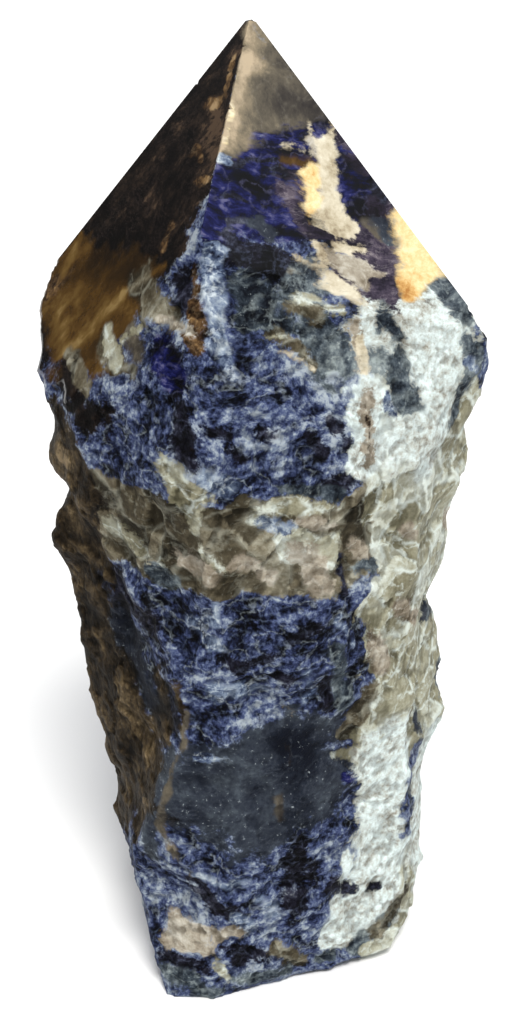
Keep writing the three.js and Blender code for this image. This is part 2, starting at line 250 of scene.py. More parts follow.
# Where the minerals lie on each side, and on each polished face, which is looked at from the front or
# the back: a mineral, then where a streak starts and ends, both as the place across (x from the front
# and back, y from the right and left) and the height, and last half its width. Later rows lie over
# earlier ones.
patches = {
    "left": [
        ("scarAndShade", (-10, 84), (-9, 60), 12),
        ("scarAndShade", (-11, 60), (-12, 32), 11),
        ("amber", (-12, 106), (12, 104), 7),
        ("amber", (-14, 112), (12, 112), 6),
        ("duskAndShade", (-2, 140), (8, 121), 9),
        ("rust", (4, 112), (10, 106), 1.8),
        ("duskAndShade", (6, 96), (14, 92), 6),
        ("pewter", (8, 54), (12, 40), 6),
        ("dark", (3, 68), (8, 60), 2.4),
        ("ice", (14, 72), (18, 62), 1.8),
        ("rust", (-6, 72), (-4, 60), 1.4),
        ("ice", (4, 30), (10, 26), 1.8),
        ("smoky", (4, 24), (16, 13), 3.4),
        ("pewter", (10, 24), (18, 20), 3),
        ("taupe", (-8, 13), (-1, 9), 1.8),
        ("pewter", (0, 5), (12, 4), 2.4),
    ],
    "right": [
        ("sugar", (-6, 106), (8, 104), 9),
        ("pewter", (-10, 110), (-5, 104), 1.8),
        ("web", (-9, 103), (-5, 97), 2.2),
        ("web", (13, 104), (20, 92), 5.5),
        ("ice", (9, 104), (10, 92), 1.6),
        ("pewter", (0, 98), (4, 90), 1.6),
        ("taupe", (-4, 74), (2, 69), 2.6),
        ("smoky", (9, 72), (16, 66), 3.4),
        ("smoky", (5, 60), (10, 52), 4.0),
        ("pewter", (-6, 57), (0, 54), 1.6),
        ("pewter", (-4, 46), (0, 36), 2.2),
        ("taupe", (6, 44), (10, 36), 1.6),
        ("sugar", (-8, 30), (-4, 12), 9),
        ("web", (17, 38), (22, 8), 5),
        ("ice", (11, 32), (14, 16), 1.8),
        ("pewter", (3, 23), (9, 14), 1.6),
        ("smoky", (-6, 6), (8, 5), 1.6),
    ],
    "back": [
        ("ice", (2, 116), (-4, 92), 2.6),
        ("pewter", (8, 110), (14, 104), 3),
        ("ice", (-16, 109), (-8, 103), 2.2),
        ("cloud", (-13, 107), (-9, 106), 1.2),
        ("dark", (-17, 101), (-12, 92), 2.4),
        ("dark", (10, 98), (14, 92), 1.8),
        ("taupe", (-10, 82), (-4, 78), 2.2),
        ("cloud", (4, 83), (12, 80), 1.8),
        ("dark", (-4, 68), (2, 64), 2),
        ("ice", (-2, 58), (6, 55), 1.8),
        ("scarAndShade", (-25, 68), (-18, 46), 5),
        ("scarAndShade", (-17, 48), (-24, 28), 4.5),
        ("rust", (-14, 56), (-12, 47), 1.2),
        ("slate", (-8, 40), (2, 30), 8),
        ("dark", (4, 26), (6, 16), 2.2),
        ("cloud", (12, 60), (14, 40), 4),
        ("sugar", (14, 30), (12, 10), 6),
        ("taupe", (-12, 13), (-4, 11), 2),
        ("pewter", (-16, 5), (-6, 3), 2.4),
        ("ice", (0, 18), (4, 12), 1.6),
    ],
    "backLeft": [
        ("duskAndShade", (-2, 147), (-31, 106), 7),
        ("amber", (-29, 110), (-33, 104), 4),
        ("duskAndShade", (4, 142), (-12, 124), 12),
        ("duskAndShade", (-10, 124), (-22, 114), 9),
        ("royal", (0, 128), (-6, 116), 4.5),
        ("rust", (-6, 136), (-10, 130), 1.0),
        ("amber", (-24, 116), (-18, 112), 2.6),
        ("plum", (-12, 122), (-16, 116), 2.0),
        ("ice", (-1, 122), (-3, 114), 1.2),
    ],
    "backRight": [
        ("plum", (6, 138), (20, 116), 12),
        ("haze", (0, 148), (2, 142), 4.0),
        ("royal", (4, 130), (12, 118), 5.0),
        ("cream", (8, 137), (12, 129), 0.8),
        ("cream", (11, 131), (14, 122), 1.3),
        ("goldAndGlint", (13.4, 123), (16, 117), 0.8),
        ("taupe", (13, 118), (22, 112), 2.0),
        ("dark", (3, 124), (8, 119), 1.2),
    ],
    "frontLeft": [
        # the left polished face: its dark ground is partly painted shade
        ("duskAndShade", (-5, 143), (-14, 125), 13),
        ("duskAndShade", (-13, 126), (-22, 116), 12),
        ("amber", (-31, 113), (-29, 103), 5.0),
        ("amber", (-27, 111.6), (-20, 112.4), 4.4),
        ("amber", (-19, 115.6), (-14, 117.4), 1.6),
        ("haze", (-1.6, 149.6), (-2.4, 148), 1.2),
        ("rust", (-3.4, 145), (-4.6, 140), 0.6),
        ("rust", (-7.4, 138), (-5.6, 138.8), 0.9),
        ("rust", (-9.4, 132.2), (-8, 131.8), 0.7),
        ("rust", (-9, 129), (-7, 130.2), 0.7),
        ("rust", (-13.4, 120.6), (-12.4, 123), 1.0),
        ("amber", (-28.6, 114), (-31, 109), 0.9),
        ("amber", (-13.4, 118), (-20, 112), 0.5),
        ("amber", (-20, 112), (-29, 101), 1.4),
    ],
    "frontRight": [
        ("plum", (12, 130), (20, 116), 8),
        ("royal", (-6, 128), (6, 129), 9),
        ("haze", (-0.5, 149), (-0.5, 144), 4),
        ("haze", (-1, 140), (4, 140), 5.0),
        ("haze", (-2, 145), (-3.8, 134.6), 2.4),
        ("haze", (3, 138), (7, 138.4), 2.6),
        # painted highlight: the glint down the ridge, as a thin pale gold line
        ("goldAndGlint", (-2.9, 143), (-4.3, 135), 0.15),
        ("royal", (8.6, 135.6), (9.4, 134.4), 0.9),
        ("dark", (7.6, 134.4), (6.4, 133.8), 0.4),
        ("cream", (7.2, 136), (8, 133.4), 0.25),
        ("cream", (3.6, 133.4), (6.4, 132.8), 0.35),
        ("ice", (-5.4, 133), (-4, 132.4), 0.5),
        ("dark", (-3, 131.6), (-1.8, 132), 0.5),
        ("dark", (-0.6, 132), (4.6, 131.2), 0.7),
        ("dark", (2, 130), (5.6, 129.4), 0.6),
        ("dark", (-5, 127.6), (-1, 126.4), 0.45),
        ("dark", (-4, 124.6), (0, 124), 0.35),
        ("slate", (0.8, 123.6), (2, 121), 1.3),
        ("plum", (4.4, 128), (8, 123), 1.8),
        ("taupe", (7.6, 133), (8.6, 131.6), 0.8),
        ("amber", (4, 131.4), (9, 130.4), 0.9),
        ("goldAndGlint", (7.8, 130.2), (8.6, 130), 0.35),
        ("royal", (13.4, 134), (15, 131), 1.4),
        ("duskAndShade", (13.4, 127.6), (15.2, 127), 0.9),
        ("dark", (16.8, 127), (18.4, 125.6), 0.9),
        ("royal", (13.6, 126.4), (16, 123.4), 1.4),
        ("haze", (17, 122), (17.4, 119.6), 1.3),
        ("slate", (18.6, 122.4), (20, 120.4), 1.3),
        ("taupe", (9.6, 118.6), (16, 115.4), 2.3),
        ("plum", (16, 119.8), (21.4, 114.4), 1.7),
        ("cream", (11.2, 136.4), (10, 132.4), 1.4),
        ("cream", (10, 132), (10.6, 129.6), 1.2),
        ("goldAndGlint", (7.4, 129.2), (9, 125.4), 1.9),
        ("cream", (9.8, 128.6), (10.8, 125), 1.2),
        ("cream", (9.8, 124.4), (12.6, 122.6), 1.4),
        ("plum", (8.4, 122.4), (14, 120), 0.3),
        ("royal", (7, 124.4), (10, 123.4), 0.35),
        ("plum", (10, 117.6), (15.4, 113.6), 0.4),
        ("cream", (12, 123), (13.6, 122.6), 0.8),
        ("cream", (11.4, 120.2), (15.2, 119.2), 0.6),
        ("cream", (8, 120.6), (9.4, 118.6), 0.5),
        ("cream", (21, 122.8), (22.4, 119), 1.3),
        # partly painted glint: the warm glint on the white mineral at the right of this face, painted in
        # pale gold
        ("goldAndGlint", (22.4, 121), (24.4, 114.4), 2.8),
        ("goldAndGlint", (21.4, 114.4), (22.2, 112.4), 1.5),
        ("dark", (-8, 123), (-6, 122.2), 0.5),
        ("dark", (-4, 122.4), (4.4, 118.6), 1.3),
        ("cream", (5, 119.4), (11, 115.2), 0.55),
        ("cream", (8, 118), (14, 114), 0.3),
        ("cream", (4, 117.4), (16, 112.2), 0.5),
        ("ice", (-7, 121.8), (-4.4, 120.4), 1.0),
        ("taupe", (-4.6, 121), (-3.4, 120.4), 0.6),
        ("dark", (-5, 119.2), (-4.6, 118.8), 0.4),
    ],
    "front": [
        # the rough front above the smoky band: first the large areas, then what lies in them
        ("dark", (-12, 108), (-10.5, 96), 2.2),
        ("duskAndShade", (-29, 99), (-24, 95), 2.6),
        ("smoky", (-17, 114.5), (-12, 112), 2.6),
        ("pewter", (7, 113), (11, 105), 4.0),
        ("pewter", (-1, 117), (1, 112), 2.8),
        ("sugar", (16, 109.6), (16.5, 90), 3.2),
        ("sugar", (15, 99), (14.6, 91), 2.6),
        ("sugar", (25, 105.5), (25, 90), 6.0),
        ("sugar", (21, 109), (29, 107), 2.2),
        ("dark", (-4, 119.8), (3, 117.6), 1.0),
        ("ice", (-6.4, 120), (-6, 110.5), 1.6),
        ("ice", (-5, 110), (-3.6, 105.5), 1.2),
        ("rust", (-9.2, 119), (-8.8, 110), 1.1),
        ("dark", (-11, 118), (-10.6, 114), 1.2),
        ("taupe", (-14, 111.6), (-10, 111), 0.9),
        ("rust", (-11, 110.6), (-8.6, 109.6), 0.8),
        ("smoky", (-23, 105.6), (-18, 103.8), 1.4),
        ("cloud", (-22.4, 106.4), (-20, 104.8), 1.1),
        ("haze", (-18.4, 108.6), (-17.2, 105.6), 1.5),
        ("cloud", (-19.6, 107.4), (-17, 109.6), 0.4),
        ("royal", (-14.6, 108), (-11.6, 105), 1.7),
        ("smoky", (-29, 101), (-26, 100.4), 1.0),
        ("smoky", (-27.6, 101.4), (-25, 99.6), 1.0),
        ("rust", (-8.8, 97), (-7, 96), 0.5),
        ("dark", (-12, 97), (-9, 94.6), 1.4),
        ("dark", (-6.4, 98.6), (-4, 98), 0.9),
        ("dark", (-3.6, 95.6), (-1.4, 94.4), 0.8),
        ("dark", (0, 97.6), (3, 97.2), 0.8),
        ("ice", (-2, 96.4), (2.6, 95.4), 0.5),
        ("dark", (6.6, 95.6), (9.6, 93), 1.0),
        ("dark", (10, 97.4), (12.6, 94), 1.0),
        ("cloud", (-13, 92.6), (-8, 89), 2.1),
        ("ice", (-7, 92), (-4, 89.6), 1.2),
        ("dark", (10.6, 88.6), (13.2, 88.4), 1.0),
        ("smoky", (4.6, 112.8), (9, 111.6), 1.2),
        ("cloud", (5, 113.8), (12, 112.6), 0.7),
        ("smoky", (2, 110), (7.4, 106), 1.2),
        ("cloud", (1.6, 109.6), (3.6, 109.4), 0.4),
        ("cream", (2.4, 107.8), (8, 104.6), 0.25),
        ("taupe", (14.2, 110), (14.4, 104), 1.1),
        ("cream", (14.6, 107.6), (15.6, 103), 0.8),
        ("taupe", (15.4, 99), (16.6, 91), 1.5),
        ("rust", (15.6, 98.6), (16.4, 93), 0.3),
        ("pewter", (19, 109.4), (21.6, 106.4), 1.5),
        ("pewter", (17.6, 104), (21.6, 102.6), 1.5),
        ("pewter", (21, 100.6), (23, 97.4), 1.7),
        ("ice", (19.2, 98.6), (20, 97), 0.9),
        ("plum", (17, 113.6), (20, 111.6), 1.1),
        ("pewter", (27, 112.4), (29.6, 110), 1.3),
        ("pewter", (31.4, 104.6), (33, 100), 1.5),
        ("ice", (31, 101.6), (33, 99.6), 0.8),
        ("pewter", (31, 98), (29.6, 92), 1.1),
        # the smoky band: its pale flakes, the cracks between them, and a painted shadow under one of them
        ("pewter", (4, 88.4), (12, 87), 0.8),
        ("cloud", (-11, 88), (-8.6, 84.4), 1.2),
        ("cloud", (-9.4, 84.4), (-8, 79.4), 0.5),
        ("cloud", (-22, 79), (-15.6, 76), 1.7),
        ("taupe", (-11.6, 78), (-7, 76.8), 1.6),
        ("cloud", (-6.6, 79.6), (-5, 77.6), 0.5),
        ("pewter", (-16, 74.4), (-13, 73.6), 1.1),
        ("cloud", (1, 85.8), (12, 84.6), 1.2),
        ("cloud", (4, 80), (11, 76), 2.2),
        ("taupe", (6, 83), (11, 82), 1.0),
        ("cloud", (-1.4, 84), (1, 83.4), 0.6),
        ("cloud", (4.4, 81.4), (8, 80), 0.8),
        ("ice", (1, 83.2), (4.4, 82), 1.2),
        ("cloud", (5.4, 79.8), (11.8, 79.4), 0.8),
        ("taupe", (-3, 78.4), (3, 74.6), 1.3),
        ("taupe", (7, 78.2), (9.4, 73.8), 2.0),
        # painted shadow under the lower right edge of a flake
        ("dark", (12.2, 76), (13.2, 70.6), 0.5),
        ("taupe", (15, 77), (16, 75), 1.2),
        ("pewter", (14.6, 73.6), (16.6, 73.4), 0.8),
        # the blue web below the band, with its black hollows and white streaks
        ("dark", (-22, 70), (-17, 65.5), 2.4),
        ("dark", (-24.6, 68), (-21, 64), 1.8),
        ("ice", (-6.6, 71.6), (-6.4, 68), 0.4),
        ("ice", (-10.4, 67.4), (-6.6, 68.6), 0.6),
        ("ice", (-9.6, 66.8), (-5.6, 63.6), 1.0),
        ("dark", (-1, 68), (1, 66), 0.8),
        ("dark", (5, 65.5), (9, 66.5), 1.2),
        ("dark", (-5.8, 62.2), (-3, 61.6), 0.9),
        ("dark", (-3, 60.6), (0.6, 62.4), 0.9),
        ("dark", (1, 62.6), (2.8, 62.8), 0.8),
        ("dark", (3.2, 59.4), (5.2, 58.4), 1.2),
        ("ice", (-6, 57.2), (1, 56.4), 1.3),
        ("ice", (7.4, 59.6), (8.4, 55.6), 0.55),
        ("ice", (8.4, 55.6), (6.6, 53), 0.5),
        ("ice", (12.4, 67), (14.4, 62), 0.9),
        ("pewter", (11.5, 60), (13, 50.5), 2.2),
        ("dark", (10, 57), (10.5, 52), 0.9),
        ("taupe", (4, 53), (5, 51), 0.4),
        # the brown scar down the left, its brown partly painted shade, and the dark flat beside it
        ("scarAndShade", (-28, 84), (-25, 72), 3.6),
        ("scarAndShade", (-27, 62), (-24, 48), 2.6),
        ("slate", (-20, 61), (-16.6, 51), 3.2),
        ("scarAndShade", (-21, 48), (-17, 34), 5.0),
        ("scarAndShade", (-19, 34), (-19.5, 27), 1.8),
        ("scarAndShade", (-14.6, 56), (-17.6, 34), 2.8),
        ("scarAndShade", (-12, 57), (-11, 48), 1.1),
        ("dark", (-14.8, 61.4), (-12.4, 49), 0.8),
        ("scarAndShade", (-14.4, 49), (-13, 44), 0.9),
        # the smooth grey window with its tan rim, and the brown smear down its right
        ("slate", (-8, 38), (2, 35.5), 7.8),
        ("slate", (3, 44.5), (11, 38), 6.4),
        ("slate", (9, 49), (13, 46.5), 1.8),
        ("slate", (-16.6, 31), (-17, 26), 1.4),
        ("haze", (-10.4, 53), (-11.4, 46.6), 0.3),
        ("haze", (-11.4, 46.6), (-14, 39), 0.35),
        ("haze", (-14, 39), (-15, 32), 0.45),
        ("haze", (-15, 32), (-13.4, 27), 0.45),
        ("haze", (-13.4, 27), (-10, 22), 0.35),
        ("haze", (-10, 22), (-5, 17), 0.3),
        ("haze", (3.4, 37), (3.8, 33), 0.9),
        ("haze", (4.6, 46), (4.8, 43), 0.3),
        ("dark", (6, 27), (6.6, 16), 2.6),
        ("cloud", (13, 45.4), (16.4, 43.6), 0.6),
        ("cloud", (12, 42), (17, 40.4), 0.8),
        ("royal", (13.6, 38), (15, 36.6), 0.6),
        ("ice", (-9, 45), (-4, 44), 0.6),
        ("ice", (-9.6, 23), (-5.6, 22.2), 1.0),
        ("ice", (-4, 23.4), (-2, 22.8), 0.8),
        # the right-hand side below the white granular top: pale, with rounded darker cells
        ("taupe", (22, 64), (24.6, 61), 1.8),
        ("taupe", (18, 60), (19, 56), 1.8),
        ("taupe", (22.4, 77.6), (23.4, 76.4), 1.0),
        ("smoky", (17, 51), (15, 46), 1.9),
        ("slate", (26.4, 57.4), (28, 59), 0.6),
        # the white sugary right-hand foot
        ("sugar", (21, 40), (20, 24), 4.6),
        ("sugar", (22, 22), (17, 9.5), 5.0),
        ("sugar", (13.4, 7.6), (23, 8), 2.0),
        ("sugar", (14, 22), (13, 12), 1.4),
        ("sugar", (12, 8.6), (21, 12), 2.4),
        ("sugar", (11.8, 6.4), (15, 4.8), 1.8),
        ("dark", (11.8, 18.6), (12.8, 17), 1.2),
        ("dark", (14.8, 15.4), (15.6, 14.8), 1.0),
        ("dark", (18.8, 14.2), (19.4, 13.4), 0.8),
        ("slate", (25.8, 42), (26, 37), 1.3),
        ("web", (25.4, 36), (24.2, 23), 2.0),
        ("pewter", (16, 3.6), (23, 8.6), 1.1),
        ("pewter", (9.6, 3.6), (12, 3), 1.0),
        ("smoky", (19, 5.6), (25, 10.6), 1.1),
        # the foot
        ("dark", (-10, 20.4), (-3, 16), 1.5),
        ("taupe", (-13, 12), (-4, 13), 2.1),
        ("taupe", (-15, 9), (-9, 9), 1.6),
        ("ice", (1, 18.4), (2.4, 17), 0.9),
        ("ice", (-2.6, 15.4), (-0.4, 14), 1.2),
        ("ice", (2, 15.4), (4, 14.6), 0.6),
        ("dark", (-6, 9.4), (-2, 8.8), 0.7),
        ("dark", (-3, 7), (2, 6.4), 1.5),
        ("smoky", (3.4, 7), (6.4, 3.4), 1.6),
        ("pewter", (-14, 3.4), (-8, 1), 2.0),
        ("dark", (-15.6, 6), (-9, 5.4), 1.0),
        ("cloud", (-7, 6.4), (-4.6, 3.2), 0.8),
        ("pewter", (-3, 3), (4, 2), 1.2),
    ],
}

# Darker and paler places within a mineral: where each starts and ends, half its width, and how
# far the pattern is shifted towards its palest colour. Some rows are painted highlight or painted
# shade, as said at them.
shades = {
    "frontLeft": [
        ((-4, 144), (-9, 122), 2.2, 0.22),
        ((-13, 134), (-10.6, 134), 1.0, 0.25),
        ((-6.6, 138), (-5.4, 133), 2.2, 0.34),
        ((-22, 121), (-14, 125), 2.0, 0.12),
        ((-24, 115), (-15, 116.5), 4.0, -0.3),
        ((-28.6, 114), (-31, 109), 1.2, 0.3),
        ((-31, 106), (-30, 101), 2.0, 0.2),
        ((-13.4, 118), (-20, 112), 0.7, 0.4),
        ((-20, 112), (-29, 101), 1.6, 0.3),
        ((-1.6, 149.6), (-2.4, 148), 1.6, 0.2),
    ],
    "frontRight": [
        ((-0.6, 151), (-0.8, 146), 2.6, 0.24),
        # painted highlight: these two rows pale the strip along the ridge where its glint lies
        ((-2, 145), (-3.6, 134), 2.4, 0.16),
        ((-1.6, 145.5), (-4.1, 134), 0.8, 0.18),
        ((-1, 144), (0.8, 143.8), 1.2, 0.15),
        ((7, 142), (8, 139), 2.0, -0.12),
        ((4, 139), (9, 137), 1.8, -0.2),
        ((-5, 127), (0, 125), 3.0, 0.05),
        # painted glint: the lower end of the gold glint, shifted to orange
        ((21.4, 113.8), (22.2, 112.6), 1.2, -0.4),
    ],
    "front": [
        ((0, 117), (0, 107), 3.5, -0.24),
        ((-13, 108), (-11, 105), 2.0, -0.15),
        ((4, 103), (13, 97), 6.0, 0.2),
        ((2, 112), (9, 108), 4.0, -0.12),
        ((-28, 84), (-25, 72), 4.0, 0.15),
        ((-20, 46), (-18, 30), 4.0, 0.06),
        ((-4, 100), (-2, 99.5), 1.2, 0.15),
        ((-4, 93), (0, 92), 1.2, 0.10),
        ((-18, 98), (-14, 92), 3.0, 0.06),
        ((-10, 65), (8, 61), 7.0, -0.10),
        ((-2, 54), (4, 52), 2.5, 0.10),
        ((-20, 61), (-16, 51), 3.5, -0.5),
        # partly painted shade: the left of the smoky band, on the side away from the light, is darker
        ((-24, 84), (-14, 84), 4.0, -0.2),
        ((0, 78), (10, 77), 4.0, 0.1),
        ((-8, 79), (2, 78), 4.0, 0.08),
        ((16, 64), (16, 48), 2.4, -0.2),
        ((22, 66), (22, 61), 3.0, -0.12),
        ((-17, 18), (-11, 17), 3.0, 0.08),
        ((1, 13), (3, 10), 1.8, 0.12),
        ((6, 46), (12, 36), 3.0, -0.15),
        ((-6, 76.6), (-1, 76), 1.5, -0.2),
        ((3.4, 37), (3.8, 33), 1.4, -0.05),
        ((5.4, 46), (6.6, 22), 2.8, -0.34),
        ((-16, 18), (10, 20), 5.0, 0.08),
        ((-15, 5), (8, 5), 5.0, 0.06),
        ((15.6, 100), (15.8, 92), 2.0, -0.15),
    ],
}


def smoothStep(low, high, value):
    t = np.clip((value - low) / (high - low), 0, 1)
    return t * t * (3 - 2 * t)


def faceNormal(turn, slope):
    a, b = math.radians(turn), math.radians(slope)
    return np.array([math.sin(a) * math.sin(b), -math.cos(a) * math.sin(b), math.cos(b)])


def outsideFaces(points):
    # how far each point is outside each polished face, minus inside
    normals = np.array([faceNormal(*face) for face in stone["polishedFaces"].values()])
    return (points - np.array(stone["tip"])) @ normals.T, normals


def readPoints(mesh):
    co = np.empty(len(mesh.vertices) * 3)
    mesh.vertices.foreach_get("co", co)
    return co.reshape(-1, 3) / mm


def writePoints(mesh, points):
    mesh.vertices.foreach_set("co", (points * mm).ravel())
    mesh.update()


def readNormals(mesh):
    no = np.empty(len(mesh.vertices) * 3)
    mesh.vertex_normals.foreach_get("vector", no)
    return no.reshape(-1, 3)


def readEdges(mesh):
    ends = np.empty(len(mesh.edges) * 2, dtype=np.int64)
    mesh.edges.foreach_get("vertices", ends)
    return ends.reshape(-1, 2)


def appliedMesh(obj):
    mesh = bpy.data.meshes.new_from_object(obj.evaluated_get(bpy.context.evaluated_depsgraph_get()))
    old = obj.data
    obj.modifiers.clear()
    obj.data = mesh
    bpy.data.meshes.remove(old)
    return mesh


def fineCopy(node):
    # a copy of the solid with its loose triangles joined, then remeshed into small even faces
    mesh = node.data.copy()
    bm = bmesh.new()
    bm.from_mesh(mesh)
    bmesh.ops.remove_doubles(bm, verts=bm.verts, dist=stone["weldGap"] * mm)
    bm.to_mesh(mesh)
    bm.free()
    mesh.materials.clear()
    obj = bpy.data.objects.new("sodaliteStone", mesh)
    bpy.context.collection.objects.link(obj)
    remesh = obj.modifiers.new("fineFaces", "REMESH")
    remesh.mode = "VOXEL"
    remesh.voxel_size = stone["meshStep"] * mm
    mesh = appliedMesh(obj)
    outside, _ = outsideFaces(readPoints(mesh))
    deep = np.where(-outside.max(axis=1) > stone["softenedDepth"])[0]
    rough = obj.vertex_groups.new(name="rough")  # the polished faces aren't softened
    rough.add(deep.tolist(), 1.0, "REPLACE")
    soften = obj.modifiers.new("soften", "SMOOTH")
    soften.factor = stone["softening"]
    soften.iterations = stone["softeningRounds"]
    soften.vertex_group = "rough"
    return obj, appliedMesh(obj)


def noiseField(points, size, shift):
    return np.array([noise.noise(Vector(p)) for p in points / size + shift])


def vectorField(points, size, shift):
    return np.array([noise.noise_vector(Vector(p)) for p in points / size + shift])


# The way out of the stone on each side, as x and y.
sideViews = {"front": (0, -1), "back": (0, 1), "right": (1, 0), "left": (-1, 0)}
farOff = 200  # well outside the stone, in millimetres


def spotOn(surface, side, spot):
    # the point of the stone's surface at a place across and up, seen from a side
    x, y = next(way for name, way in sideViews.items() if side.startswith(name))
    across, height = spot
    start = Vector((x * farOff + abs(y) * across, y * farOff + abs(x) * across, height))
    along = Vector((-x, -y, 0))
    hit = surface.ray_cast(start * mm, along)[0]
    if hit is None:  # just off the outline: the nearest point of the surface
        middle = start + along * farOff
        hit = surface.find_nearest(middle * mm)[0]
    return np.array(hit) / mm


def fromStreak(points, start, end):
    # how far each point is from the line between two spots
    along = end - start
    length = max(along @ along, 1e-9)
    share = np.clip((points - start) @ along / length, 0, 1)
    return np.linalg.norm(points - start - share[:, None] * along, axis=1)


# The rims of the layers, patches and shades. A bend or blur is a start, a share of half the width
# that is added to it, and the most that it comes to, in millimetres.
rims = {
    "layerBlur": 1.5,
    "patchBend": (0.4, 0.55, 2.4),
    "patchBlur": (0.9, 0.8, 4.1),
    "shadeBend": (0, 0.3, 1),
    "shadeFade": (0.2, 1.8),  # where a shade starts to fade and where it ends, in half widths
    "polishFade": (-1.8, -0.3),  # a polished face's own patches end this deep under it
    "nextFaceFade": (-0.25, -0.02),  # and this near to the next face
}


def wider(rule, half):
    start, share, most = rule
    return min(most, start + share * half)


def mineralWeights(mesh, points, swirl):
    # shares of each mineral at each point, the layers and patches painted one over another
    weights = {name: np.zeros(len(points)) for name in minerals}
    weights["web"][:] = 1
    surface = BVHTree.FromPolygons([v.co for v in mesh.vertices], [p.vertices[:] for p in mesh.polygons])
    outside = grindFlat(points)[1]
    outermost = outside.max(axis=1)
    nearPolish = smoothStep(*rims["polishFade"], outermost)

    def paint(mineral, mask):
        for name in weights:
            weights[name] *= 1 - mask
        weights[mineral] += mask

    def reach(side):
        # a side named after a polished face covers no more than that face
        if side not in stone["polishedFaces"]:
            return 1
        k = list(stone["polishedFaces"]).index(side)
        return nearPolish * smoothStep(*rims["nextFaceFade"], outside[:, k] - outermost)

    def farFrom(side, start, end, bend):
        return fromStreak(points + bend * swirl, spotOn(surface, side, start), spotOn(surface, side, end))

    for mineral, middle, normal, half, ragged in layers:
        direction = np.array(normal) / np.linalg.norm(normal)
        far = np.abs((points + ragged * swirl - np.array(middle)) @ direction)
        blur = rims["layerBlur"]
        paint(mineral, 1 - smoothStep(half - blur, half + blur, far))
    for side, rows in patches.items():
        for mineral, start, end, half in rows:
            far = farFrom(side, start, end, wider(rims["patchBend"], half))
            blur = wider(rims["patchBlur"], half)
            paint(mineral, (1 - smoothStep(half - blur, half + blur, far)) * reach(side))
    shade = np.zeros(len(points))
    near, gone = rims["shadeFade"]
    for side, rows in shades.items():
        for start, end, half, amount in rows:
            far = farFrom(side, start, end, wider(rims["shadeBend"], half))
            shade += amount * (1 - smoothStep(near * half, gone * half, far)) * reach(side)
    return weights, shade


def layerMasks(weights):
    # how much of each mineral shows over the ones before it, so that no gap shows where two meet
    leastLeft = 0.02
    masks = {}
    left = np.ones(len(weights["web"]))
    for name in reversed(paintedOver):
        masks[name] = np.where(left > leastLeft, weights[name] / np.maximum(left, leastLeft), 0)
        left = left - weights[name]
    return masks


# The parts of the break surface: the size of each in millimetres, and a shift that sets its noise
# apart from the others.
breaks = {
    "lumps": (4.2, 1.7),
    "smallLumps": (2.0, 5.2),
    "smallLumpShare": 0.5,
    "shards": (5.2, 0.4),
    "chips": (2.4, 3.3),
    "tilt": 1.3,  # of the shards and chips
    "grain": (0.9, 7.7),
    "pits": (2.0, 11.0),
    "pitStretch": (0.8, 0.8, 1.5),
    "pitLevels": (0.12, 0.5),
    "polishMargin": (0.3, 1.5),  # the relief starts and is full at these depths under the polish
    "footMargin": (0.0, 1.0),  # and at these heights over the flat spot
}


def shardField(points, size, shift):
    # broken shards: each cell of an uneven grid sets its own height, tilt and tone
    height, tone = np.zeros(len(points)), np.zeros(len(points))
    cellSpread = 7.31  # takes neighbouring cells far apart in the noise that they are read from
    for i, p in enumerate(points / size + shift):
        spot = noise.voronoi(Vector(p))[1][0]
        cell = noise.cell_vector(Vector(spot) * cellSpread)
        tilt = Vector(cell) - Vector((0.5, 0.5, 0.5))
        height[i] = (cell[0] - 0.5) + breaks["tilt"] * tilt.dot(Vector(p) - spot)
        tone[i] = cell[1] - 0.5
    return height, tone


def roughen(mesh, points, bent, weights):
    normals = readNormals(mesh)
    outside, _ = outsideFaces(points)
    shards, shardTone = shardField(bent, *breaks["shards"])
    chips, chipTone = shardField(bent, *breaks["chips"])
    smallLumps = noiseField(points, *breaks["smallLumps"])
    hollows = noiseField(points * breaks["pitStretch"], *breaks["pits"])
    lumps = noiseField(points, *breaks["lumps"]) + breaks["smallLumpShare"] * smallLumps
    grain = noiseField(points, *breaks["grain"])
    pits = -smoothStep(*breaks["pitLevels"], hollows)
    fields = [lumps, shards, chips, grain, pits]
    height = np.zeros(len(points))
    tone = np.zeros(len(points))
    for name, look in minerals.items():
        height += weights[name] * sum(high * field for high, field in zip(look["relief"], fields))
        shardShare, chipShare = look["tones"]
        tone += weights[name] * (shardShare * shardTone + chipShare * chipTone)
    height *= smoothStep(*breaks["polishMargin"], -outside.max(axis=1))
    height *= smoothStep(*breaks["footMargin"], points[:, 2])
    return points + normals * height[:, None], height, tone


def sharpness(mesh, points):
    # how far each point stands out from its neighbours, in millimetres: more than 0 on an edge, less
    # in a crease
    ends = readEdges(mesh)
    count = np.bincount(ends.ravel(), minlength=len(points))[:, None]
    around = points
    for step in range(2):  # the neighbours, and then theirs
        total = np.zeros_like(points)
        np.add.at(total, ends[:, 0], around[ends[:, 1]])
        np.add.at(total, ends[:, 1], around[ends[:, 0]])
        around = total / count
    return ((points - around) * readNormals(mesh)).sum(axis=1)


def grindFlat(points):
    # everything outside a polished face, or a hair under it, goes onto its plane, and what is next to
    # an edge between two of them goes onto the edge
    outside, planes = outsideFaces(points)
    for k in range(len(planes)):
        over = np.where(outside[:, k] > -stone["grindDepth"], outside[:, k], 0)
        points = points - over[:, None] * planes[k]
        outside, _ = outsideFaces(points)
    for k in range(len(planes)):
        pair = [k, (k + 1) % len(planes)]
        near = outside[:, pair].min(axis=1) > -stone["edgeReach"]
        both = planes[pair]
        points[near] -= outside[near][:, pair] @ np.linalg.inv(both @ both.T) @ both
        outside, _ = outsideFaces(points)
    low, high = (np.array(c) / mm for c in cadBox)
    return np.clip(points, low, high), outside


